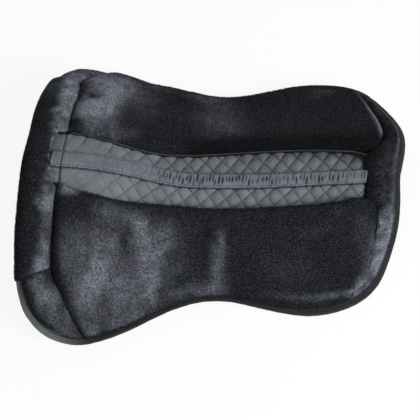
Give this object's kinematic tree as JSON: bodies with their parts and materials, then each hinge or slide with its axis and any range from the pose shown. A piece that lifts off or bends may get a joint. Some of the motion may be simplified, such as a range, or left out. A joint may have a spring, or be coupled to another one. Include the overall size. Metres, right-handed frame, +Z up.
{
  "type": "half pad",
  "caption": "Contoured saddle half pad: quilted cotton cover, foam panels faced with dense plush, open spine channel with a ruched elastic tape, plush front roll.",
  "frame": {"origin": "under the middle of the pad, on the surface that it stands on, fleece side up", "axes": "+X to the rear of the pad, -X to the front roll, -Y the near side, +Y the far side, +Z up"},
  "size_m": [0.591, 0.478, 0.1656],
  "materials": {
    "plush": "dense short-pile plush, near black with a blue cast, brushed in patches",
    "quilted_cotton": "slate grey cotton twill, diamond quilted over wadding",
    "binding_tape": "grey-green woven cotton tape, folded over the edge",
    "ruched_tape": "blue-grey cotton tape gathered over elastic",
    "piping": "slate grey corded seam",
    "elastic": "woven flat elastic, off-white",
    "foam": "open-cell foam, cream"
  },
  "bodies": {
    "spine": {"spine_tape_casing": "ruched_tape", "spine_elastic": "elastic", "near_channel_quilt": "quilted_cotton", "far_channel_quilt": "quilted_cotton", "front_roll_bridge": "plush", "rear_band_bridge": "plush", "binding_bridge": "binding_tape"},
    "near_panel": {"near_plush_panel": "plush", "near_foam_core": "foam", "near_quilted_cover": "quilted_cotton", "near_front_corner_plush": "plush", "near_rear_band": "plush", "near_front_roll_sleeve": "plush", "near_front_roll_core": "foam", "near_edge_binding": "binding_tape", "near_channel_piping": "piping"},
    "far_panel": {"far_plush_panel": "plush", "far_foam_core": "foam", "far_quilted_cover": "quilted_cotton", "far_front_corner_plush": "plush", "far_rear_band": "plush", "far_front_roll_sleeve": "plush", "far_front_roll_core": "foam", "far_edge_binding": "binding_tape", "far_channel_piping": "piping"}
  },
  "joints": [
    {"name": "near_fold", "type": "hinge", "parent": "spine", "child": "near_panel", "pos_m": [0.005, -0.042, 0.0865], "axis": [0.9935, 0, -0.1138], "range_deg": [-85, 60], "deforming": ["near_channel_quilt", "front_roll_bridge", "rear_band_bridge", "binding_bridge"]},
    {"name": "far_fold", "type": "hinge", "parent": "spine", "child": "far_panel", "pos_m": [0.005, 0.042, 0.0865], "axis": [-0.9935, 0, 0.1138], "range_deg": [-85, 60], "deforming": ["far_channel_quilt", "front_roll_bridge", "rear_band_bridge", "binding_bridge"]}
  ]
}
